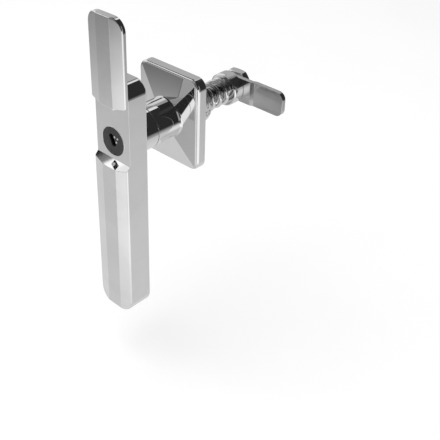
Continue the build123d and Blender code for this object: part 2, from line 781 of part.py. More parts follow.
def build_mounting_nut():
    """The hexagon nut that clamps the door."""
    start = DOOR_THICKNESS + WASHER_THICKNESS
    nut = hexagon(NUT_FLATS, start, start + NUT_THICKNESS, turn=30)
    return nut - rod(BARREL_DIAMETER + 2 * NUT_CLEARANCE, start, start + NUT_THICKNESS)


def ramp_depth():
    """Where the ramp's surface lies at the handle's rest, behind the cross pin."""
    return CROSS_PIN_PLACE + CROSS_PIN_DIAMETER / 2 + RAMP_CLEARANCE


def build_ramp_ring():
    """The helical face cam: as the handle turns, the cross pin follows it back."""
    front = ramp_depth() - RAMP_WALL
    ring = tube(BARREL_BORE, RAMP_BORE, front, RAMP_BACK)
    middle = (BARREL_BORE + RAMP_BORE) / 4
    tall = 2 * COMPRESSION_TRAVEL
    cut = helical_cut(middle, BARREL_BORE / 2, tall, COMPRESSION_TRAVEL, ramp_depth() - tall / 2)
    half = CROSS_PIN_DIAMETER / 2 + RAMP_CLEARANCE
    for angle, travel in ((0, 0), (HANDLE_SWING, COMPRESSION_TRAVEL)):
        end = block((-half, half), (front - OVERRUN, ramp_depth() + travel), (0, BARREL_BORE))
        cut += turned(end, angle)
    return ring - cut - turned(cut, 180)


def build_guide_bush():
    """The flanged bronze bush that carries the shaft at the barrel's back."""
    bush = rod(BARREL_BORE, RAMP_BACK, BARREL_LENGTH)
    bush += rod(BUSH_FLANGE_DIAMETER, BARREL_LENGTH - BUSH_FLANGE_THICKNESS, BARREL_LENGTH)
    bush -= rod(SHAFT_DIAMETER + 2 * SHAFT_GAP, RAMP_BACK, BARREL_LENGTH)
    seat = SHAFT_DIAMETER + 2 * SEAL_CORD + 4 * SEAL_GAP
    return bush - rod(seat, RAMP_BACK, RAMP_BACK + BUSH_SEAL_DEPTH)


def build_shaft_seal():
    """The round-section ring that keeps water out along the shaft."""
    middle = (SHAFT_DIAMETER + SEAL_CORD) / 2 + SEAL_GAP
    place = RAMP_BACK + BUSH_SEAL_DEPTH / 2
    return Pos(0, place, 0) * Rot(90, 0, 0) * Torus(middle, SEAL_CORD / 2)


def build_shaft():
    """The drive shaft: square front in the handle, round middle, flatted stud for the cam."""
    square = along_y(Rectangle(SHAFT_SQUARE, SHAFT_SQUARE), SQUARE_FRONT, SQUARE_BACK)
    shaft = chamfer(square.edges().filter_by(Axis.Y), SHAFT_SQUARE_BEVEL)
    shaft += rod(SHAFT_DIAMETER, SQUARE_BACK, SHOULDER)
    thread_start = cam_washer_front() + CAM_WASHER_THICKNESS
    stud = rod(STUD_DIAMETER, SHOULDER, thread_start)
    stud += rod(STUD_DIAMETER - 2 * STUD_THREAD_HEIGHT, thread_start, STUD_END)
    half = STUD_FLATS / 2
    shaft += stud & block((-half, half), (SHOULDER, STUD_END), (-STUD_DIAMETER, STUD_DIAMETER))
    return shaft - cross_pin_bar(SHAFT_DIAMETER)


def cross_pin_bar(length):
    """The bar across the shaft where its cross pin sits."""
    return Pos(0, CROSS_PIN_PLACE, 0) * Cylinder(CROSS_PIN_DIAMETER / 2, length)


def build_cross_pin():
    """The pin across the shaft that rides on the ramp."""
    return cross_pin_bar(CROSS_PIN_LENGTH)


def flatted_hole(start, end):
    """The cam's keyed hole for the stud."""
    outline = Circle(STUD_DIAMETER / 2 + SHAFT_GAP)
    outline &= Rectangle(STUD_FLATS + 2 * SHAFT_GAP, STUD_DIAMETER * 2)
    return along_y(outline, start, end)


def build_spring_collar():
    """The round collar between the spring and the cam."""
    collar = rod(COLLAR_DIAMETER, COLLAR_FRONT, CAM_FRONT)
    collar = chamfer(collar.edges().filter_by(GeomType.CIRCLE), COLLAR_BEVEL)
    collar -= rod(SHAFT_DIAMETER + 2 * SHAFT_GAP, COLLAR_FRONT, SHOULDER)
    return collar - flatted_hole(SHOULDER, CAM_FRONT)


def build_cam():
    """The cam: a cranked tongue that pulls on the cabinet frame."""
    half = CAM_WIDTH / 2
    front = CAM_FRONT
    back = CAM_FRONT + CAM_THICKNESS
    shift = CAM_JOGGLE
    side = make_face(
        Polyline(
            (-CAM_TAIL, front),
            (CAM_HUB_END, front),
            (CAM_TIP_START, front + shift),
            (CAM_REACH, front + shift),
            (CAM_REACH, back + shift),
            (CAM_TIP_START, back + shift),
            (CAM_HUB_END, back),
            (-CAM_TAIL, back),
            close=True,
        )
    )
    bar = extrude(Pos(0, 0, -half) * side, amount=CAM_WIDTH)
    length = CAM_REACH + CAM_TAIL
    outline = Pos((CAM_REACH - CAM_TAIL) / 2, 0) * RectangleRounded(length, CAM_WIDTH, CAM_CORNER)
    bar &= along_y(outline, front - OVERRUN, back + shift + OVERRUN)
    return bar - flatted_hole(front - OVERRUN, back + OVERRUN)


def cam_washer_front():
    """Where the washer behind the cam starts."""
    return CAM_FRONT + CAM_THICKNESS


def build_cam_washer():
    """The thin lock washer under the cam's nut."""
    start = cam_washer_front()
    hole = STUD_DIAMETER + 2 * CAM_WASHER_GAP
    return tube(CAM_WASHER_DIAMETER, hole, start, start + CAM_WASHER_THICKNESS)


def build_cam_nut():
    """The hexagon nut that holds the cam on the stud."""
    start = cam_washer_front() + CAM_WASHER_THICKNESS
    nut = hexagon(CAM_NUT_FLATS, start, start + CAM_NUT_THICKNESS, turn=0)
    return nut - rod(STUD_DIAMETER + 2 * NUT_CLEARANCE, start, start + CAM_NUT_THICKNESS)


def build_compression_spring():
    """The strong spring that pushes the cam back, away from the door."""
    start = BARREL_LENGTH + SPRING_SEAT_GAP
    length = COLLAR_FRONT - SPRING_SEAT_GAP - start
    return coil(SPRING_DIAMETER, SPRING_WIRE, length, SPRING_TURNS, start)


def raised(shape):
    """The shape moved up with the cover, as it stands with the key face bare."""
    return Pos(0, 0, COVER_TRAVEL) * shape


def main():
    """Builds every piece and writes one file for each."""
    blank = handle_blank()
    pieces = {
        "rosette": build_rosette(),
        "panel_gasket": build_panel_gasket(),
        "mounting_washer": build_mounting_washer(),
        "mounting_nut": build_mounting_nut(),
        "ramp_ring": build_ramp_ring(),
        "guide_bush": build_guide_bush(),
        "shaft_seal": build_shaft_seal(),
        "compression_spring": build_compression_spring(),
        "handle_body": build_handle_body(blank),
        "neck_washer": build_neck_washer(),
        "neck_clip": build_neck_clip(),
        "guide_block": build_guide_block(),
        "guide_screws": build_guide_screws(),
        "detent_ball": build_detent_ball(),
        "detent_spring": build_detent_spring(),
        "cylinder_sleeve": build_cylinder_sleeve(),
        "plug": build_plug(),
        "contact_pins": build_contact_pins(),
        "circuit_board": build_circuit_board(),
        "actuator": build_actuator(),
        "plug_tail": build_plug_tail(),
        "tail_pin": build_tail_pin(),
        "locking_pin": build_locking_pin(),
        "sliding_cover": raised(build_cover(blank)),
        "stop_plate": raised(build_stop_plate()),
        "stop_pins": [raised(pin) for pin in build_stop_pins()],
        "drive_shaft": build_shaft(),
        "cross_pin": build_cross_pin(),
        "spring_collar": build_spring_collar(),
        "cam": build_cam(),
        "cam_washer": build_cam_washer(),
        "cam_nut": build_cam_nut(),
    }
    os.makedirs("parts", exist_ok=True)
    for name, piece in pieces.items():
        shape = Compound(children=piece) if isinstance(piece, list) else piece
        export_step(shape, f"parts/{name}.step")


if __name__ == "__main__":
    main()
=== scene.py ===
"""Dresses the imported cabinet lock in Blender: finishes, threads, key face and a soft studio.

Metres, in the CAD's own frame. The shaft runs along +Y through the door and +Z is up.
"""

import json
import math

import bpy
from mathutils import Matrix, Vector

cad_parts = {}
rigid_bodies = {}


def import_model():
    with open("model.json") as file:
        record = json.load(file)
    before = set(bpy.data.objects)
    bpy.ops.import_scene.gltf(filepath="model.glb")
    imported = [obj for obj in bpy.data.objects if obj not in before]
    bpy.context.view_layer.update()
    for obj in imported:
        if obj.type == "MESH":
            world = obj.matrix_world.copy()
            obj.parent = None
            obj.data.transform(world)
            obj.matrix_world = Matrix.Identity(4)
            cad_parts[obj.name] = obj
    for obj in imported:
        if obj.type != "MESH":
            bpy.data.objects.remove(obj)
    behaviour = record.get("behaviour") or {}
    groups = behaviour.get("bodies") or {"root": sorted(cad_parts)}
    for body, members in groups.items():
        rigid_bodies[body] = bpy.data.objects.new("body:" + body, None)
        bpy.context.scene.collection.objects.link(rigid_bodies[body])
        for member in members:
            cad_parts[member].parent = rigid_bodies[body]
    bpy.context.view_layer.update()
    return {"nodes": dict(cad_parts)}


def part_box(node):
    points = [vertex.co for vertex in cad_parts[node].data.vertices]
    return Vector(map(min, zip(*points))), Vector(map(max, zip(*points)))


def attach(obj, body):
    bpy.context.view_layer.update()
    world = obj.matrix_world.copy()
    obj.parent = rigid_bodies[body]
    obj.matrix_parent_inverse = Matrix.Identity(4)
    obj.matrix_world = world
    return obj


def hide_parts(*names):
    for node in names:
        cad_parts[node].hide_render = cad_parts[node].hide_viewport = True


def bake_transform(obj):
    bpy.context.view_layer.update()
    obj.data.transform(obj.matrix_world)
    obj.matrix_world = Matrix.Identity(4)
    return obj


for leftover in list(bpy.data.objects):
    bpy.data.objects.remove(leftover)

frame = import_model()

bl_info = {
    "name": "Cabinet lock finishes",
    "version": (1, 0, 0),
    "blender": (4, 5, 0),
    "location": "3D View > Sidebar > Lock",
    "description": "Finishes, threads and studio for a lever-handle cabinet lock",
    "category": "Object",
}

# camera: where it stands, how it is turned in degrees, and the photograph's frame in pixels
CAMERA_PLACE = (0.29496, -0.29713, 0.22237)
CAMERA_YAW = 44.176
CAMERA_PITCH = 31.299
CAMERA_ROLL = -0.440
IMAGE_SIZE = 440
FOCAL_PIXELS = 821.20
IMAGE_AXIS = (183.20, 159.61)
SENSOR_WIDTH = 36.0
CLIP_RANGE = (0.01, 50.0)

# studio: the floor's width and border, and where the lamp stands over it
FLOOR_WIDTH = 8.0
FLOOR_BORDER = 0.4
LAMP_PLACE = (-0.25, -0.35)

# the mirrored floor's brightness by elevation in degrees, as sRGB levels of 255
FLOOR_TONES = (
    (-90, 202), (-60, 206), (-45, 198), (-35, 192), (-28, 183), (-22, 140), (-15, 80), (-12, 41),
)

# a stretch of that floor that is brighter: its azimuths and softness in degrees, and its gain
FLOOR_PATCH = (-90.0, -62.0, 4.0, 1.14)

# the cards that the metal mirrors, in degrees: azimuth from straight in front towards the right,
# half width, its softness, bottom, top, their softness, and the card's sRGB level
STUDIO_CARDS = (
    ("wide pale wall on the left", -83, 85, 5, -2, 66, 34, 4, 228),
    ("wall behind on the left", -158, 32, 10, -23, 47, 4, 4, 170),
    ("grey strip high on the left", -54, 65, 9, 54.5, 66.5, 4, 4, 162),
    ("grey card in front", -17.5, 26.5, 5, -25, 53.5, 25, 25, 101),
    ("dark card high on the right", 39.5, 22.5, 11, 56.5, 69, 4, 4, 59),
    ("bright strip low on the right", 47, 74, 10, -40.5, -23, 10, 10, 243),
    ("bright card on the right", 55.5, 13, 12, -22, 0, 4, 4, 229),
    ("pale card low in front", -7.5, 15, 7, -36.5, -17.5, 4, 4, 204),
    ("dark strip behind on the right", 140, 38, 6, 39.5, 45.5, 4, 4, 41),
    ("dark card high on the left", -113, 33, 10, 40, 69, 4, 5, 38),
    ("white slit for the key face's ledge", -51.3, 0.5, 0.2, 29, 38, 2, 2, 255),
    ("grey slit beside it", -54.2, 2.5, 0.2, 29, 38, 2, 2, 120),
    ("dark slit beside that", -56.1, 3.7, 0.7, 29, 38, 2, 2, 15),
    ("grey card beside the neck", 100, 18, 3, -10, 34, 10, 12, 150),
    ("white card low beside the plate", 34, 24, 3, -27, -11, 3, 3, 252),
    ("pale card for the cam", -38, 6, 4, -27, -12, 1, 8, 205),
    ("shade under the cam", -38, 6, 4, -38, -27, 4, 1, 128),
)

# threads: how deep the foot is sunk in the core, the foot's width as a share of the pitch,
# the crest's width as a share of the foot's, the steps in a turn and the turns to spare
THREAD_SUNK = 0.0002
THREAD_FOOT = 0.94
THREAD_CREST = 0.16
THREAD_STEPS = 72
SPARE_TURNS = 3

# how far each thread keeps from the washer's front, from the barrel's end and from the stud's end
WASHER_TO_THREAD = 0.0003
THREAD_TO_BARREL_END = 0.0005
THREAD_TO_STUD_END = 0.0004

# rings on the key face: how deep they are set in, and the rounding of their edges
RIM_SUNK = 0.0002
EYELET_SUNK = 0.0001
RING_BEVEL = 0.00005
RING_STEPS_PER_METRE = 15000
FEWEST_RING_STEPS = 32

# turn of the rolling lines on upright sheets
LINES_UPRIGHT = (0.0, 0.0, math.pi / 2)

# how far a point of one contact lies from another point of it at most
CONTACT_REACH = 0.001

# painted shade in the plug's opening: it goes dark from this far behind its face, over this depth
PLUG_PAINTED_SHADE_START = 0.0003
PLUG_PAINTED_SHADE_DEPTH = 0.0012

# how deep the chip on the circuit board is, and half the width of its soft foot
CHIP_DEPTH = 0.00064
CHIP_EDGE = 0.00002

# points of a mesh that are nearer than this are one
MERGE_DISTANCE = 0.000002


def linear(level):
    """The light value of an sRGB level from 0 to 255."""
    share = level / 255
    return share / 12.92 if share <= 0.04045 else ((share + 0.055) / 1.055) ** 2.4


def metres(name, description, default):
    """A property that is a length in metres."""
    return bpy.props.FloatProperty(
        name=name, description=description, default=default, unit="LENGTH"
    )


def paint(name, description, default):
    """A property that is a finish's colour."""
    return bpy.props.FloatVectorProperty(
        name=name, description=description, default=default, subtype="COLOR", min=0, max=1
    )


def strength(name, description, default, highest):
    """A property that is a level of light from zero up."""
    return bpy.props.FloatProperty(
        name=name, description=description, default=default, min=0, max=highest
    )


class LockThreads(bpy.types.PropertyGroup):
    """Sizes of the threads on the barrel and on the shaft's stud."""

    barrel_diameter: metres("Barrel thread diameter", "Across the barrel thread's crests", 0.024)
    barrel_pitch: metres("Barrel thread pitch", "From crest to crest on the barrel", 0.0015)
    barrel_height: metres("Barrel thread height", "From the barrel's core to the crest", 0.0007)
    barrel_flats: metres("Barrel flats", "Across the barrel's two flats", 0.0224)
    stud_diameter: metres("Stud thread diameter", "Across the stud thread's crests", 0.010)
    stud_pitch: metres("Stud thread pitch", "From crest to crest on the stud", 0.00125)
    stud_height: metres("Stud thread height", "From the stud's core to the crest", 0.0006)
    stud_flats: metres("Stud flats", "Across the stud's two flats", 0.008)


class LockKeyFace(bpy.types.PropertyGroup):
    """Sizes of the bright rim round the key face and of the contacts' eyelets."""

    rim_gap: metres("Rim gap", "Between the plug's edge and the rim", 0.00006)
    rim_width: metres("Rim width", "From the rim's inner edge to its outer edge", 0.00036)
    rim_height: metres("Rim height", "How far the rim stands off the key face", 0.00006)
    eyelet_bore: metres("Eyelet bore", "Radius of the hole in an eyelet", 0.00030)
    eyelet_reach: metres("Eyelet reach", "Radius of an eyelet's outer edge", 0.00064)
    eyelet_height: metres("Eyelet height", "How far an eyelet stands off the key face", 0.00010)


class LockColours(bpy.types.PropertyGroup):
    """Colours of the lock's finishes."""

    chrome: paint("Chrome", "Plating on the handle, the cover and the rosette", (0.80, 0.80, 0.805))
    zinc: paint("Zinc plate", "Plating on the cam, nuts and washers", (0.74, 0.74, 0.745))
    spring: paint("Spring wire", "Drawn wire of the springs", (0.76, 0.76, 0.76))
    stainless: paint("Stainless", "Steel of the shaft, pins and guide", (0.72, 0.72, 0.715))
    bronze: paint("Bronze", "Sintered bronze of the guide bush", (0.34, 0.27, 0.19))
    contact: paint("Contact silver", "Plating on the key contacts", (0.98, 0.96, 0.90))
    black: paint("Black plastic", "Moulded face of the lock cylinder", (0.022, 0.022, 0.023))
    rubber: paint("Rubber", "Gasket and shaft seal", (0.018, 0.018, 0.019))
    board: paint("Circuit board", "Lacquer of the circuit board", (0.015, 0.10, 0.045))


class LockStudio(bpy.types.PropertyGroup):
    """The studio's floor, lamp and room."""

    floor_height: metres("Floor height", "Height of the studio floor", -0.150)
    floor_glow: strength("Floor glow", "White that the camera adds to the floor", 0.17, 1)
    lamp_size: metres("Lamp size", "Width of the soft lamp above the lock", 0.9)
    lamp_height: metres("Lamp height", "Height of the soft lamp above the lock", 0.9)
    lamp_power: strength("Lamp power", "Power of the soft lamp, in watts", 4.0, 50)
    room_level: strength("Room level", "Plain light from all sides on dull surfaces", 0.75, 2)
    mirror_level: strength("Mirrored level", "Brightness of what the metal mirrors", 1.25, 2)


class Wiring:
    """Adds nodes to one node tree and wires them."""

    def __init__(self, tree):
        self.tree = tree

    def add(self, kind, inputs=None, **settings):
        """A new node with its settings, and inputs given as values or as other nodes' outputs."""
        node = self.tree.nodes.new(kind)
        for name, value in settings.items():
            setattr(node, name, value)
        for socket, value in (inputs or {}).items():
            self.feed(node.inputs[socket], value)
        return node

    def feed(self, socket, value):
        """Sets a socket, or links it where the value is another node's output."""
        if isinstance(value, bpy.types.NodeSocket):
            self.tree.links.new(value, socket)
        else:
            socket.default_value = value

    def maths(self, operation, *values):
        """The result of one maths operation on values and outputs."""
        return self.add("ShaderNodeMath", dict(enumerate(values)), operation=operation).outputs[0]

    def ramp(self, value, low, high, start=0.0, end=1.0):
        """A smooth step from start to end as the value goes from low to high."""
        inputs = {"Value": value, "From Min": low, "From Max": high, "To Min": start, "To Max": end}
        node = self.add("ShaderNodeMapRange", inputs, interpolation_type="SMOOTHSTEP")
        return node.outputs["Result"]

    def spread(self, value, low, high, start, end):
        """A straight line from start to end as the value goes from low to high."""
        inputs = {"Value": value, "From Min": low, "From Max": high, "To Min": start, "To Max": end}
        return self.add("ShaderNodeMapRange", inputs).outputs["Result"]

    def mix(self, share, first, second):
        """A colour between two colours."""
        node = self.add("ShaderNodeMix", {0: share, 6: first, 7: second}, data_type="RGBA")
        return node.outputs[2]

    def noise(self, vector, scale, detail=2.0, roughness=0.5, distortion=0.0):
        """A noise pattern's value from 0 to 1."""
        inputs = {
            "Vector": vector, "Scale": scale, "Detail": detail,
            "Roughness": roughness, "Distortion": distortion,
        }
        return self.add("ShaderNodeTexNoise", inputs).outputs[0]

    def bump(self, height, distance, normal):
        """A normal raised by a height pattern, with the distance in metres."""
        inputs = {"Height": height, "Distance": distance, "Strength": 1.0, "Normal": normal}
        return self.add("ShaderNodeBump", inputs).outputs["Normal"]

    def softened(self, radius):
        """A normal that turns smoothly over sharp edges within a radius in metres."""
        return self.add("ShaderNodeBevel", {"Radius": radius}, samples=6).outputs["Normal"]

    def place(self):
        """The place on the piece, in metres."""
        return self.add("ShaderNodeTexCoord").outputs["Object"]

    def axes(self, vector):
        """The X, Y and Z of a place or direction."""
        return self.add("ShaderNodeSeparateXYZ", {"Vector": vector}).outputs

    def between(self, value, low, high, low_soft, high_soft):
        """A mask that is bright while the value lies between two bounds, with soft ends."""
        over = self.ramp(value, low - low_soft / 2, low + low_soft / 2)
        under = self.ramp(value, high - high_soft / 2, high + high_soft / 2, 1.0, 0.0)
        return self.maths("MULTIPLY", over, under)

    def placed(self, group, inputs=None):
        """The outputs of a node group placed here with its own values."""
        return self.add("ShaderNodeGroup", inputs, node_tree=group).outputs

    def cover(self, shader, colour, rough, normal, metallic=0.0):
        """Gives the Principled shader its colour, roughness, normal and metal."""
        self.feed(shader.inputs["Base Color"], colour)
        self.feed(shader.inputs["Roughness"], rough)
        self.feed(shader.inputs["Normal"], normal)
        shader.inputs["Metallic"].default_value = metallic


def tinted(colour, share):
    """The colour made darker or lighter by a share."""
    return tuple(min(1.0, part * share) for part in colour)


def shade(colour, share=1.0):
    """An opaque colour, made darker or lighter by a share."""
    return (*tinted(colour, share), 1.0)


def grey(light):
    """An opaque grey of that light value."""
    return (light, light, light, 1.0)


def shared_group(name, inputs, outputs, build):
    """The node group of that name, which build wires when it is first asked for."""
    if name not in bpy.data.node_groups:
        group = bpy.data.node_groups.new(name, "ShaderNodeTree")
        for label, kind, default in inputs:
            socket = group.interface.new_socket(name=label, in_out="INPUT", socket_type=kind)
            if default is not None:
                socket.default_value = default
        for label in outputs:
            group.interface.new_socket(name=label, in_out="OUTPUT", socket_type="NodeSocketFloat")
        wire = Wiring(group)
        given = wire.add("NodeGroupInput").outputs
        wire.add("NodeGroupOutput", build(wire, given))
    return bpy.data.node_groups[name]


def worn_edges():
    """Node group: a mask that is bright on sharp edges and broken up by fine scuffs."""

    def build(wire, given):
        rounded = wire.add("ShaderNodeBevel", {"Radius": given["Radius"]}, samples=4)
        surface = wire.add("ShaderNodeNewGeometry")
        facing = wire.add(
            "ShaderNodeVectorMath",
            {0: rounded.outputs["Normal"], 1: surface.outputs["Normal"]},
            operation="DOT_PRODUCT",
        )
        edge = wire.ramp(facing.outputs["Value"], 0.995, 0.80)
        scuffs = wire.ramp(wire.noise(wire.place(), 900.0, 3.0, 0.6), 0.30, 0.62)
        scuffed = wire.maths("MULTIPLY", edge, scuffs)
        return {"Mask": wire.maths("MULTIPLY", scuffed, given["Amount"])}

    inputs = [("Radius", "NodeSocketFloat", 0.0003), ("Amount", "NodeSocketFloat", 1.0)]
    return shared_group("Worn edges", inputs, ["Mask"], build)


def hand_marks():
    """Node group: a broad, cloudy mask of handling and wiping."""

    def build(wire, given):
        cloud = wire.noise(wire.place(), given["Scale"], 4.0, 0.55, 0.6)
        return {"Mask": wire.ramp(cloud, 0.35, 0.70)}

    return shared_group("Hand marks", [("Scale", "NodeSocketFloat", 60.0)], ["Mask"], build)


def cast_skin():
    """Node group: the faint waviness and fine grain of a polished casting."""

    def build(wire, given):
        place = wire.place()
        wave = wire.noise(place, given["Wave Scale"], 2.0, 0.45)
        grain = wire.noise(place, given["Grain Scale"], 3.0, 0.6)
        return {"Wave": wave, "Grain": grain}

    inputs = [
        ("Wave Scale", "NodeSocketFloat", 260.0),
        ("Grain Scale", "NodeSocketFloat", 4200.0),
    ]
    return shared_group("Cast skin", inputs, ["Wave", "Grain"], build)


def turned_rings():
    """Node group: the fine grooves a lathe leaves, round the shaft axis."""

    def build(wire, given):
        parts = wire.axes(wire.place())
        across = wire.maths("MULTIPLY", parts["X"], parts["X"])
        up = wire.maths("MULTIPLY", parts["Z"], parts["Z"])
        reach = wire.maths("SQRT", wire.maths("ADD", across, up))
        along = wire.maths("ADD", reach, parts["Y"])
        turns = wire.maths("DIVIDE", along, given["Pitch"])
        rings = wire.add("ShaderNodeCombineXYZ", {"X": turns}).outputs["Vector"]
        grooves = wire.noise(rings, 1.0, 3.0, 0.7)
        bands = wire.noise(rings, 0.12, 2.0, 0.6)
        return {"Grooves": grooves, "Tone": bands}

    inputs = [("Pitch", "NodeSocketFloat", 0.0002)]
    return shared_group("Turned rings", inputs, ["Grooves", "Tone"], build)


def drawn_lines():
    """Node group: fine lines along one direction, as drawing, rolling or brushing leaves them."""

    def build(wire, given):
        lines = wire.noise(given["Place"], given["Fineness"], 3.0, 0.65)
        broad = wire.maths("MULTIPLY", given["Fineness"], 0.12)
        streaks = wire.noise(given["Place"], broad, 2.0, 0.5)
        return {"Lines": lines, "Streaks": streaks}

    inputs = [("Place", "NodeSocketVector", None), ("Fineness", "NodeSocketFloat", 3500.0)]
    return shared_group("Drawn lines", inputs, ["Lines", "Streaks"], build)


def new_finish(name):
    """An empty node material: its wiring and its Principled shader."""
    finish = bpy.data.materials.new(name)
    finish.use_nodes = True
    finish.node_tree.nodes.clear()
    wire = Wiring(finish.node_tree)
    shader = wire.add("ShaderNodeBsdfPrincipled")
    wire.add("ShaderNodeOutputMaterial", {"Surface": shader.outputs["BSDF"]})
    return finish, wire, shader


def chrome_finish(name, colour, cloud=60.0, soft=0.0):
    """Polished chrome over a casting: faint waves, hand marks and brighter rubbed edges."""
    finish, wire, shader = new_finish(name)
    edges = wire.placed(worn_edges(), {"Radius": 0.00035, "Amount": 0.8})["Mask"]
    marks = wire.placed(hand_marks(), {"Scale": cloud})["Mask"]
    skin = wire.placed(cast_skin())
    plate = wire.mix(marks, shade(colour), shade(colour, 0.955))
    plate = wire.mix(edges, plate, shade(colour, 1.12))
    smears = wire.spread(marks, 0.0, 1.0, 0.022 + soft, 0.048 + soft)
    rough = wire.maths("ADD", smears, wire.maths("MULTIPLY", edges, 0.06))
    waves = wire.bump(skin["Wave"], 0.0000016, wire.softened(0.00022))
    normal = wire.bump(skin["Grain"], 0.0000004, waves)
    wire.cover(shader, plate, rough, normal, metallic=1.0)
    return finish


def sheet_finish(name, colour, turn=(0.0, 0.0, 0.0), roughness=0.14, round_over=0.0002):
    """Rolled sheet steel: rolling lines, a cloudy plating and rubbed edges."""
    finish, wire, shader = new_finish(name)
    edges = wire.placed(worn_edges(), {"Radius": 0.0003, "Amount": 1.0})["Mask"]
    marks = wire.placed(hand_marks(), {"Scale": 140.0})["Mask"]
    drawn_out = {"Vector": wire.place(), "Rotation": turn, "Scale": (0.03, 1.0, 1.0)}
    place = wire.add("ShaderNodeMapping", drawn_out).outputs["Vector"]
    rolled = wire.placed(drawn_lines(), {"Place": place, "Fineness": 3200.0})
    plate = wire.mix(marks, shade(colour), shade(colour, 0.90))
    streaks = wire.ramp(rolled["Streaks"], 0.35, 0.75, 0.0, 0.4)
    plate = wire.mix(streaks, plate, shade(colour, 0.86))
    plate = wire.mix(edges, plate, shade(colour, 1.2))
    rough = wire.spread(rolled["Lines"], 0.3, 0.7, roughness - 0.03, roughness + 0.05)
    normal = wire.bump(rolled["Lines"], 0.0000007, wire.softened(round_over))
    wire.cover(shader, plate, rough, normal, metallic=1.0)
    return finish


def turned_finish(name, colour, roughness=0.10, pitch=0.00022):
    """Turned steel: lathe rings, darker bands and rubbed edges."""
    finish, wire, shader = new_finish(name)
    edges = wire.placed(worn_edges(), {"Radius": 0.00025, "Amount": 1.0})["Mask"]
    rings = wire.placed(turned_rings(), {"Pitch": pitch})
    marks = wire.placed(hand_marks(), {"Scale": 160.0})["Mask"]
    bands = wire.ramp(rings["Tone"], 0.35, 0.70, 0.0, 0.5)
    metal = wire.mix(bands, shade(colour), shade(colour, 0.88))
    metal = wire.mix(wire.maths("MULTIPLY", marks, 0.5), metal, shade(colour, 0.90))
    metal = wire.mix(edges, metal, shade(colour, 1.22))
    rough = wire.spread(rings["Grooves"], 0.3, 0.7, roughness - 0.03, roughness + 0.05)
    normal = wire.bump(rings["Grooves"], 0.0000006, wire.softened(0.00015))
    wire.cover(shader, metal, rough, normal, metallic=1.0)
    return finish


def wire_finish(name, colour):
    """Drawn spring wire: fine lines round the shaft and a slightly oily tone."""
    finish, wire, shader = new_finish(name)
    marks = wire.placed(hand_marks(), {"Scale": 210.0})["Mask"]
    rings = wire.placed(turned_rings(), {"Pitch": 0.00016})
    metal = wire.mix(marks, shade(colour), shade(colour, 0.90))
    metal = wire.mix(wire.ramp(rings["Tone"], 0.4, 0.7, 0.0, 0.5), metal, shade(colour, 0.86))
    rough = wire.spread(rings["Grooves"], 0.3, 0.7, 0.045, 0.09)
    surface = wire.add("ShaderNodeNewGeometry").outputs["Normal"]
    normal = wire.bump(rings["Grooves"], 0.0000006, surface)
    wire.cover(shader, metal, rough, normal, metallic=1.0)
    return finish


def moulded_finish(name, colour, roughness=0.38, grain=0.000006, wear=0.5, inside=None):
    """Moulded plastic or rubber: fine grain, greyer at rubbed edges, and, where asked, painted
    shade that darkens it behind a depth.
    """
    finish, wire, shader = new_finish(name)
    edges = wire.placed(worn_edges(), {"Radius": 0.0003, "Amount": wear})["Mask"]
    marks = wire.placed(hand_marks(), {"Scale": 180.0})["Mask"]
    skin = wire.placed(cast_skin(), {"Wave Scale": 900.0, "Grain Scale": 6500.0})
    body = wire.mix(marks, shade(colour), shade(colour, 1.5))
    worn = tuple(part * 0.6 + 0.10 for part in colour)
    body = wire.mix(edges, body, shade(worn))
    if inside is not None:
        # painted shade: the colour goes nearly black deeper than the given depth, standing in for
        # shade inside an opening
        depth = wire.axes(wire.place())["Y"]
        painted_recess_shade = wire.ramp(depth, inside, inside + PLUG_PAINTED_SHADE_DEPTH)
        body = wire.mix(painted_recess_shade, body, shade(colour, 0.1))
    rough = wire.spread(skin["Grain"], 0.3, 0.7, roughness - 0.05, roughness + 0.10)
    normal = wire.bump(skin["Grain"], grain, wire.softened(0.00015))
    wire.cover(shader, body, rough, normal)
    return finish


def bronze_finish(name, colour):
    """Sintered bronze: open pores, oil-darkened clouds and rubbed edges."""
    finish, wire, shader = new_finish(name)
    cells = {"Vector": wire.place(), "Scale": 2600.0}
    pores = wire.add("ShaderNodeTexVoronoi", cells).outputs["Distance"]
    marks = wire.placed(hand_marks(), {"Scale": 200.0})["Mask"]
    edges = wire.placed(worn_edges(), {"Radius": 0.0003, "Amount": 1.0})["Mask"]
    metal = wire.mix(marks, shade(colour), shade(colour, 0.62))
    metal = wire.mix(wire.ramp(pores, 0.30, 0.10, 0.0, 0.7), metal, shade(colour, 0.35))
    metal = wire.mix(edges, metal, shade(colour, 1.3))
    rough = wire.spread(marks, 0.0, 1.0, 0.34, 0.48)
    normal = wire.bump(wire.ramp(pores, 0.1, 0.3), 0.000008, wire.softened(0.0002))
    wire.cover(shader, metal, rough, normal, metallic=1.0)
    return finish


def board_finish(name, colour, chip):
    """Circuit board: copper runs under green lacquer, and a dark chip that stands off it."""
    finish, wire, shader = new_finish(name)
    place = wire.place()
    upright = {"Vector": place, "Rotation": (math.pi / 2, 0, 0)}
    face = wire.add("ShaderNodeMapping", upright).outputs["Vector"]
    tracks = {"Vector": face, "Scale": 700.0, "Mortar Size": 0.10}
    runs = wire.add("ShaderNodeTexBrick", tracks).outputs[1]
    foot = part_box("circuit_board")[1].y - CHIP_DEPTH
    stands_off = wire.ramp(wire.axes(place)["Y"], foot - CHIP_EDGE, foot + CHIP_EDGE)
    marks = wire.placed(hand_marks(), {"Scale": 300.0})["Mask"]
    lacquer = wire.mix(wire.maths("MULTIPLY", runs, 0.7), shade(colour), shade(colour, 2.2))
    lacquer = wire.mix(marks, lacquer, shade(colour, 0.8))
    body = wire.mix(stands_off, lacquer, shade(chip))
    rough = wire.spread(stands_off, 0.0, 1.0, 0.22, 0.5)
    normal = wire.bump(runs, 0.00001, wire.softened(0.0001))
    wire.cover(shader, body, rough, normal)
    return finish


def dress(finish, *names):
    """Puts one finish on CAD nodes."""
    for name in names:
        for slot in frame["nodes"][name].material_slots:
            slot.link = "DATA"
            slot.material = finish


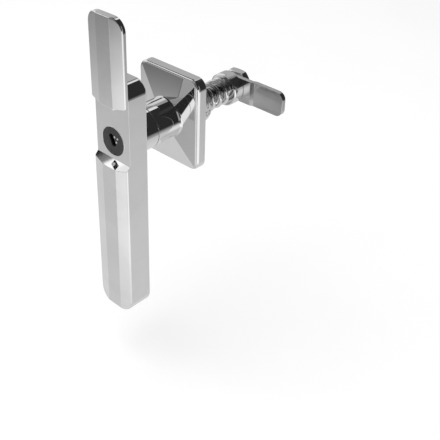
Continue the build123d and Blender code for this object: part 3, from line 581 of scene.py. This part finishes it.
def start_piece(name, add, **settings):
    """Adds a primitive with nothing else selected, and brings its place into its mesh."""
    bpy.ops.object.select_all(action="DESELECT")
    add(**settings)
    piece = bpy.context.active_object
    piece.name = name
    piece.data.name = name
    bpy.ops.object.transform_apply(location=True, rotation=True, scale=True)
    return piece


def pick(piece, test):
    """Selects, in edit mode, the vertices whose place passes a test, and no others."""
    bpy.ops.object.mode_set(mode="OBJECT")
    for vertex in piece.data.vertices:
        vertex.select = bool(test(vertex.co))
    for edge in piece.data.edges:
        edge.select = all(piece.data.vertices[index].select for index in edge.vertices)
    for face in piece.data.polygons:
        face.select = all(piece.data.vertices[index].select for index in face.vertices)
    bpy.ops.object.mode_set(mode="EDIT")


def cut_off(point, normal):
    """Bisects the whole active piece and drops what lies beyond the plane, with the cut closed."""
    bpy.ops.object.mode_set(mode="EDIT")
    bpy.ops.mesh.select_mode(type="VERT")
    bpy.ops.mesh.select_all(action="SELECT")
    bpy.ops.mesh.bisect(plane_co=point, plane_no=normal, use_fill=True, clear_outer=True)


def finish_piece(angle):
    """Merges the active piece's doubles, turns its faces outwards and smooths below an angle."""
    bpy.ops.object.mode_set(mode="EDIT")
    bpy.ops.mesh.select_all(action="SELECT")
    bpy.ops.mesh.remove_doubles(threshold=MERGE_DISTANCE)
    bpy.ops.mesh.normals_make_consistent(inside=False)
    bpy.ops.object.mode_set(mode="OBJECT")
    bpy.ops.object.shade_smooth_by_angle(angle=math.radians(angle))


def apply_modifier(kind, **settings):
    """Adds a modifier to the active piece, sets it and applies it."""
    piece = bpy.context.active_object
    modifier = piece.modifiers.new(kind.title(), kind)
    for name, value in settings.items():
        setattr(modifier, name, value)
    bpy.ops.object.modifier_apply(modifier=modifier.name)


def contact_places():
    """The x and z of each contact's middle, from the contacts' own mesh, top one first."""
    contacts = []
    for vertex in frame["nodes"]["contact_pins"].data.vertices:
        for points in contacts:
            if (vertex.co - points[0]).xz.length < CONTACT_REACH:
                points.append(vertex.co)
                break
        else:
            contacts.append([vertex.co])
    places = []
    for points in contacts:
        across = [point.x for point in points]
        up = [point.z for point in points]
        places.append(((min(across) + max(across)) / 2, (min(up) + max(up)) / 2))
    return sorted(places, key=lambda place: -place[1])


def helical_thread(name, diameter, height, pitch, flats, start, end):
    """A screw thread round the shaft: a tapered profile run round, cut off at ends and flats."""
    tall = height + THREAD_SUNK
    middle = (0.0, start - pitch, diameter / 2 - tall / 2)
    piece = start_piece(
        name,
        bpy.ops.mesh.primitive_plane_add,
        size=tall,
        location=middle,
        rotation=(0.0, math.pi / 2, 0.0),
    )
    pick(piece, lambda place: True)
    foot = pitch * THREAD_FOOT / tall
    bpy.ops.transform.resize(value=(1.0, foot, 1.0), center_override=middle)
    pick(piece, lambda place: place.z > middle[2])
    bpy.ops.transform.resize(value=(1.0, THREAD_CREST, 1.0), center_override=middle)
    bpy.ops.object.mode_set(mode="OBJECT")
    apply_modifier(
        "SCREW",
        axis="Y",
        angle=2 * math.pi,
        screw_offset=pitch,
        steps=THREAD_STEPS,
        render_steps=THREAD_STEPS,
        iterations=int((end - start) / pitch) + SPARE_TURNS,
        use_smooth_shade=False,
        use_normal_calculate=True,
    )
    cut_off((0.0, end, 0.0), (0.0, 1.0, 0.0))
    cut_off((0.0, start, 0.0), (0.0, -1.0, 0.0))
    cut_off((flats / 2, 0.0, 0.0), (1.0, 0.0, 0.0))
    cut_off((-flats / 2, 0.0, 0.0), (-1.0, 0.0, 0.0))
    finish_piece(20.0)
    return piece


def bevelled_ring(name, centre, radii, depths):
    """A flat ring across the shaft's line with rounded edges, by x and z, radii and depths."""
    inside, outside = radii
    front, back = depths
    middle = (centre[0], back, centre[1])
    piece = start_piece(
        name,
        bpy.ops.mesh.primitive_circle_add,
        vertices=max(FEWEST_RING_STEPS, int(outside * RING_STEPS_PER_METRE)),
        radius=inside,
        location=middle,
        rotation=(math.pi / 2, 0.0, 0.0),
    )
    pick(piece, lambda place: True)
    bpy.ops.mesh.extrude_region_move()
    grown = outside / inside
    bpy.ops.transform.resize(value=(grown, 1.0, grown), center_override=middle)
    bpy.ops.mesh.select_all(action="SELECT")
    move = {"value": (0.0, front - back, 0.0)}
    bpy.ops.mesh.extrude_region_move(TRANSFORM_OT_translate=move)
    bpy.ops.object.mode_set(mode="OBJECT")
    finish_piece(30.0)
    sharp = math.radians(40)
    apply_modifier("BEVEL", width=RING_BEVEL, segments=3, limit_method="ANGLE", angle_limit=sharp)
    finish_piece(60.0)
    return piece


class LOCK_OT_casting_finish(bpy.types.Operator):
    """Chrome on the handle, its sliding cover and the rosette"""

    bl_idname = "lock.casting_finish"
    bl_label = "Chrome castings"

    def execute(self, context):
        colour = context.scene.lock_colours.chrome
        dress(chrome_finish("Chrome handle", colour, 45.0), "handle_body")
        dress(chrome_finish("Chrome cover", colour, 70.0, 0.004), "sliding_cover")
        dress(chrome_finish("Chrome rosette", colour, 55.0), "rosette")
        return {"FINISHED"}


class LOCK_OT_cover_guide_finish(bpy.types.Operator):
    """Steel of the cover's guide, stop plate, pins, screws and ball detent"""

    bl_idname = "lock.cover_guide_finish"
    bl_label = "Cover guide"

    def execute(self, context):
        colours = context.scene.lock_colours
        stainless = colours.stainless
        dress(sheet_finish("Ground guide steel", stainless, LINES_UPRIGHT, 0.18), "guide_block")
        dress(sheet_finish("Stop plate steel", stainless, roughness=0.20), "stop_plate")
        dress(turned_finish("Pin steel", stainless, 0.14, 0.00010), "stop_pins")
        dress(turned_finish("Screw steel", colours.zinc, 0.16, 0.00014), "guide_screws")
        dress(turned_finish("Ball steel", stainless, 0.06, 0.0004), "detent_ball")
        dress(wire_finish("Detent wire", colours.spring), "detent_spring")
        return {"FINISHED"}


class LOCK_OT_key_face(bpy.types.Operator):
    """The black key face, its silver contacts with their eyelets, and the bright rim round it"""

    bl_idname = "lock.key_face"
    bl_label = "Key face"

    def execute(self, context):
        colours = context.scene.lock_colours
        sizes = context.scene.lock_key_face
        low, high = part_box("plug")
        face = low.y
        # painted shade in the key's opening starts a little behind the key face
        painted_shade_start = face + PLUG_PAINTED_SHADE_START
        black = moulded_finish("Moulded black", colours.black, 0.30, 0.000004, 0.35, painted_shade_start)
        dress(black, "plug")
        silver = turned_finish("Contact silver", colours.contact, 0.30, 0.00008)
        dress(silver, "contact_pins")
        chip = tinted(colours.black, 0.8)
        dress(board_finish("Circuit board", colours.board, chip), "circuit_board")
        dress(sheet_finish("Motor can", colours.stainless, LINES_UPRIGHT, 0.24), "actuator")
        dress(turned_finish("Sleeve steel", colours.stainless, 0.16), "cylinder_sleeve")
        inner = (high.x - low.x) / 2 + sizes.rim_gap
        rim = bevelled_ring(
            "key_face_rim",
            (0.0, 0.0),
            (inner, inner + sizes.rim_width),
            (face - sizes.rim_height, face + RIM_SUNK),
        )
        rim.data.materials.append(chrome_finish("Rim chrome", tinted(colours.chrome, 1.1), 200.0))
        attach(rim, "handle")
        for number, place in enumerate(contact_places(), start=1):
            eyelet = bevelled_ring(
                f"contact_eyelet_{number}",
                place,
                (sizes.eyelet_bore, sizes.eyelet_reach),
                (face - sizes.eyelet_height, face + EYELET_SUNK),
            )
            eyelet.data.materials.append(silver)
            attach(eyelet, "key_plug")
        return {"FINISHED"}


class LOCK_OT_locking_works(bpy.types.Operator):
    """Finishes of the plug's tail, the locking pin and the neck's washer and clip"""

    bl_idname = "lock.locking_works"
    bl_label = "Locking works"

    def execute(self, context):
        colours = context.scene.lock_colours
        dress(turned_finish("Tail steel", colours.zinc, 0.16), "plug_tail")
        pin = turned_finish("Locking pin steel", colours.stainless, 0.12, 0.00012)
        dress(pin, "locking_pin", "tail_pin")
        plastic = moulded_finish("Sliding washer plastic", colours.black, 0.34, 0.000003, 0.3)
        dress(plastic, "neck_washer")
        clip = sheet_finish("Clip spring steel", tinted(colours.spring, 0.8), (0, 0, 0.6), 0.20)
        dress(clip, "neck_clip")
        return {"FINISHED"}


class LOCK_OT_door_fixings(bpy.types.Operator):
    """Finishes of the gasket, seal, door washer and nut, bush and ramp ring"""

    bl_idname = "lock.door_fixings"
    bl_label = "Door fixings"

    def execute(self, context):
        colours = context.scene.lock_colours
        dress(moulded_finish("Gasket rubber", colours.rubber, 0.62, 0.00001, 0.25), "panel_gasket")
        dress(moulded_finish("Seal rubber", colours.rubber, 0.45, 0.000004, 0.2), "shaft_seal")
        dress(sheet_finish("Door washer zinc", colours.zinc, (0, 0.4, 0), 0.26), "mounting_washer")
        dress(turned_finish("Door nut zinc", colours.zinc, 0.22, 0.0003), "mounting_nut")
        dress(bronze_finish("Sintered bronze", colours.bronze), "guide_bush")
        dress(turned_finish("Ramp steel", tinted(colours.stainless, 0.85), 0.20), "ramp_ring")
        return {"FINISHED"}


class LOCK_OT_barrel_thread(bpy.types.Operator):
    """The screw thread on the rosette's barrel, cut off at its two flats"""

    bl_idname = "lock.barrel_thread"
    bl_label = "Barrel thread"

    def execute(self, context):
        sizes = context.scene.lock_threads
        thread = helical_thread(
            "barrel_thread",
            sizes.barrel_diameter,
            sizes.barrel_height,
            sizes.barrel_pitch,
            sizes.barrel_flats,
            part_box("mounting_washer")[0].y + WASHER_TO_THREAD,
            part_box("rosette")[1].y - THREAD_TO_BARREL_END,
        )
        chrome = context.scene.lock_colours.chrome
        thread.data.materials.append(chrome_finish("Chrome thread", chrome, 55.0, 0.12))
        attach(thread, "base")
        return {"FINISHED"}


class LOCK_OT_drive_line(bpy.types.Operator):
    """Finishes of the shaft, collar, cam, washer and nut, and the thread on the stud's end"""

    bl_idname = "lock.drive_line"
    bl_label = "Drive line"

    def execute(self, context):
        colours = context.scene.lock_colours
        sizes = context.scene.lock_threads
        steel = turned_finish("Turned shaft steel", colours.stainless)
        dress(steel, "drive_shaft", "cross_pin")
        collar = turned_finish("Collar steel", tinted(colours.chrome, 0.97), 0.07, 0.00018)
        dress(collar, "spring_collar")
        zinc = tinted(colours.zinc, 0.88)
        dress(sheet_finish("Cam zinc", zinc, roughness=0.13, round_over=0.0003), "cam")
        dress(turned_finish("Cam washer zinc", colours.zinc, 0.14), "cam_washer")
        nut = turned_finish("Cam nut zinc", tinted(colours.chrome, 0.95), 0.08, 0.0003)
        dress(nut, "cam_nut")
        thread = helical_thread(
            "stud_thread",
            sizes.stud_diameter,
            sizes.stud_height,
            sizes.stud_pitch,
            sizes.stud_flats,
            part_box("cam_washer")[1].y,
            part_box("drive_shaft")[1].y - THREAD_TO_STUD_END,
        )
        thread.data.materials.append(steel)
        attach(thread, "drive")
        return {"FINISHED"}


class LOCK_OT_spring_coils(bpy.types.Operator):
    """The compression spring's coils, as a smoothed copy of the spring's mesh that stands in for it
    """

    bl_idname = "lock.spring_coils"
    bl_label = "Compression spring"

    def execute(self, context):
        drawn = wire_finish("Spring wire", context.scene.lock_colours.spring)
        dress(drawn, "compression_spring")
        bpy.ops.object.select_all(action="DESELECT")
        mesh = frame["nodes"]["compression_spring"].data.copy()
        coils = bpy.data.objects.new("spring_coils", mesh)
        context.scene.collection.objects.link(coils)
        coils.select_set(True)
        context.view_layer.objects.active = coils
        finish_piece(40.0)
        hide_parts("compression_spring")
        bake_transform(coils)
        return {"FINISHED"}


class LOCK_OT_stage(bpy.types.Operator):
    """The pale floor, the soft lamp, the room that the metal mirrors, and the camera"""

    bl_idname = "lock.stage"
    bl_label = "Studio"

    def execute(self, context):
        studio = context.scene.lock_studio
        build_floor(studio)
        build_lamp(studio)
        build_room(context.scene, studio)
        build_camera(context.scene)
        context.scene.view_settings.view_transform = "Standard"
        return {"FINISHED"}


def build_floor(studio):
    """A wide pale floor, which the metal doesn't mirror and which glows a little to the camera."""
    floor = start_piece(
        "studio_floor",
        bpy.ops.mesh.primitive_plane_add,
        size=FLOOR_WIDTH,
        location=(0.0, 0.0, studio.floor_height),
    )
    bpy.ops.object.mode_set(mode="EDIT")
    bpy.ops.mesh.select_all(action="SELECT")
    bpy.ops.mesh.inset(thickness=FLOOR_BORDER, depth=0.0)
    bpy.ops.object.mode_set(mode="OBJECT")
    finish, wire, shader = new_finish("Pale floor")
    grain = wire.placed(hand_marks(), {"Scale": 3.0})["Mask"]
    wire.feed(shader.inputs["Base Color"], wire.mix(grain, grey(0.90), grey(0.88)))
    shader.inputs["Roughness"].default_value = 0.9
    shader.inputs["Specular IOR Level"].default_value = 0.0
    glow = wire.add("ShaderNodeEmission", {"Color": grey(1.0), "Strength": studio.floor_glow})
    seen = wire.add("ShaderNodeLightPath").outputs["Is Camera Ray"]
    dark = wire.add("ShaderNodeEmission", {"Color": grey(0.0), "Strength": 0.0})
    extra = wire.add("ShaderNodeMixShader", {0: seen, 1: dark.outputs[0], 2: glow.outputs[0]})
    both = wire.add("ShaderNodeAddShader", {0: shader.outputs["BSDF"], 1: extra.outputs[0]})
    output = next(node for node in wire.tree.nodes if node.type == "OUTPUT_MATERIAL")
    wire.feed(output.inputs["Surface"], both.outputs[0])
    floor.data.materials.append(finish)
    floor.visible_glossy = False


def build_lamp(studio):
    """One large soft lamp above and in front, which the metal doesn't mirror."""
    light = bpy.data.lights.new("soft_lamp", "AREA")
    light.shape = "SQUARE"
    light.size = studio.lamp_size
    light.energy = studio.lamp_power
    lamp = bpy.data.objects.new("soft_lamp", light)
    bpy.context.scene.collection.objects.link(lamp)
    lamp.location = (*LAMP_PLACE, studio.lamp_height)
    lamp.rotation_mode = "QUATERNION"
    lamp.rotation_quaternion = Vector(lamp.location).to_track_quat("Z", "Y")
    lamp.visible_glossy = False


def build_room(scene, studio):
    """The room: white to the camera, plain to dull surfaces, and cards and floor to the metal."""
    world = bpy.data.worlds.new("Studio room")
    world.use_nodes = True
    world.node_tree.nodes.clear()
    wire = Wiring(world.node_tree)
    way = wire.axes(wire.add("ShaderNodeTexCoord").outputs["Generated"])
    front = wire.maths("MULTIPLY", way["Y"], -1.0)
    azimuth = wire.maths("DEGREES", wire.maths("ARCTAN2", way["X"], front))
    elevation = wire.maths("DEGREES", wire.maths("ARCSINE", way["Z"]))
    seen = mirrored_floor(wire, azimuth, elevation)
    for name, centre, wide, wide_soft, bottom, top, bottom_soft, top_soft, tone in STUDIO_CARDS:
        off_centre = wire.maths("WRAP", wire.maths("SUBTRACT", azimuth, centre), 180.0, -180.0)
        aside = wire.maths("ABSOLUTE", off_centre)
        across = wire.ramp(aside, wide - wide_soft / 2, wide + wide_soft / 2, 1.0, 0.0)
        up = wire.between(elevation, bottom, top, bottom_soft, top_soft)
        card = wire.maths("MULTIPLY", across, up)
        seen = wire.mix(card, seen, grey(linear(tone)))
        seen.node.label = name
    cards = wire.add("ShaderNodeBackground", {"Color": seen, "Strength": studio.mirror_level})
    white = wire.add("ShaderNodeBackground", {"Color": grey(1.0), "Strength": 1.0})
    plain = wire.add(
        "ShaderNodeBackground", {"Color": grey(1.0), "Strength": studio.room_level}
    )
    rays = wire.add("ShaderNodeLightPath").outputs
    lit = {0: rays["Is Glossy Ray"], 1: plain.outputs[0], 2: cards.outputs[0]}
    lighting = wire.add("ShaderNodeMixShader", lit)
    shown = {0: rays["Is Camera Ray"], 1: lighting.outputs[0], 2: white.outputs[0]}
    room = wire.add("ShaderNodeMixShader", shown)
    wire.add("ShaderNodeOutputWorld", {"Surface": room.outputs[0]})
    scene.world = world


def mirrored_floor(wire, azimuth, elevation):
    """The floor as the metal mirrors it: darker towards the horizon, with a brighter patch."""
    floor = wire.add("ShaderNodeValToRGB", {"Fac": wire.spread(elevation, -90.0, 0.0, 0.0, 1.0)})
    fill_ramp(floor.color_ramp, [((angle + 90) / 90, tone) for angle, tone in FLOOR_TONES])
    first, last, soft, gain = FLOOR_PATCH
    inside = wire.between(azimuth, first, last, soft, soft)
    lift = wire.spread(inside, 0.0, 1.0, 1.0, gain)
    lifted = {0: floor.outputs["Color"], "Scale": lift}
    return wire.add("ShaderNodeVectorMath", lifted, operation="SCALE").outputs["Vector"]


def fill_ramp(ramp, stops):
    """Sets a colour ramp's stops to grey levels."""
    while len(ramp.elements) > 1:
        ramp.elements.remove(ramp.elements[-1])
    for number, (place, tone) in enumerate(stops):
        element = ramp.elements[0] if number == 0 else ramp.elements.new(place)
        element.position = place
        element.color = grey(linear(tone))


def build_camera(scene):
    """The camera at the photograph's place and angle, with its frame shifted as there."""
    yaw, pitch, roll = (math.radians(angle) for angle in (CAMERA_YAW, CAMERA_PITCH, CAMERA_ROLL))
    level = math.cos(pitch)
    ahead = Vector((-math.sin(yaw) * level, math.cos(yaw) * level, -math.sin(pitch)))
    right = Vector((math.cos(yaw), math.sin(yaw), 0.0))
    down = ahead.cross(right)
    across = math.cos(roll) * right + math.sin(roll) * down
    below = -math.sin(roll) * right + math.cos(roll) * down
    data = bpy.data.cameras.new("camera")
    data.sensor_width = SENSOR_WIDTH
    data.lens = FOCAL_PIXELS * SENSOR_WIDTH / IMAGE_SIZE
    data.shift_x = (IMAGE_SIZE / 2 - IMAGE_AXIS[0]) / IMAGE_SIZE
    data.shift_y = (IMAGE_AXIS[1] - IMAGE_SIZE / 2) / IMAGE_SIZE
    data.clip_start, data.clip_end = CLIP_RANGE
    camera = bpy.data.objects.new("camera", data)
    scene.collection.objects.link(camera)
    turn = Matrix((across, -below, -ahead)).transposed().to_4x4()
    camera.matrix_world = Matrix.Translation(CAMERA_PLACE) @ turn
    scene.camera = camera


class LOCK_PT_panel(bpy.types.Panel):
    """The lock's finishes and pieces"""

    bl_idname = "LOCK_PT_panel"
    bl_label = "Cabinet lock"
    bl_space_type = "VIEW_3D"
    bl_region_type = "UI"
    bl_category = "Lock"

    def draw(self, context):
        layout = self.layout
        for kind in OPERATORS:
            layout.operator(kind.bl_idname)
        for group, kind in PROPERTIES.items():
            box = layout.box()
            for name in kind.__annotations__:
                box.prop(getattr(context.scene, group), name)


PROPERTIES = {
    "lock_threads": LockThreads,
    "lock_key_face": LockKeyFace,
    "lock_colours": LockColours,
    "lock_studio": LockStudio,
}

OPERATORS = (
    LOCK_OT_casting_finish,
    LOCK_OT_cover_guide_finish,
    LOCK_OT_key_face,
    LOCK_OT_locking_works,
    LOCK_OT_door_fixings,
    LOCK_OT_barrel_thread,
    LOCK_OT_drive_line,
    LOCK_OT_spring_coils,
    LOCK_OT_stage,
)


def register():
    """Registers the lock's properties, operators and panel."""
    for group, kind in PROPERTIES.items():
        bpy.utils.register_class(kind)
        setattr(bpy.types.Scene, group, bpy.props.PointerProperty(type=kind))
    for kind in (*OPERATORS, LOCK_PT_panel):
        bpy.utils.register_class(kind)


def unregister():
    """Takes the lock's properties, operators and panel away again."""
    for kind in (LOCK_PT_panel, *reversed(OPERATORS)):
        bpy.utils.unregister_class(kind)
    for group, kind in PROPERTIES.items():
        delattr(bpy.types.Scene, group)
        bpy.utils.unregister_class(kind)


def main():
    """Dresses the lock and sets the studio."""
    register()
    bpy.ops.lock.casting_finish()
    bpy.ops.lock.cover_guide_finish()
    bpy.ops.lock.key_face()
    bpy.ops.lock.locking_works()
    bpy.ops.lock.door_fixings()
    bpy.ops.lock.barrel_thread()
    bpy.ops.lock.drive_line()
    bpy.ops.lock.spring_coils()
    bpy.ops.lock.stage()


if __name__ == "__main__":
    main()
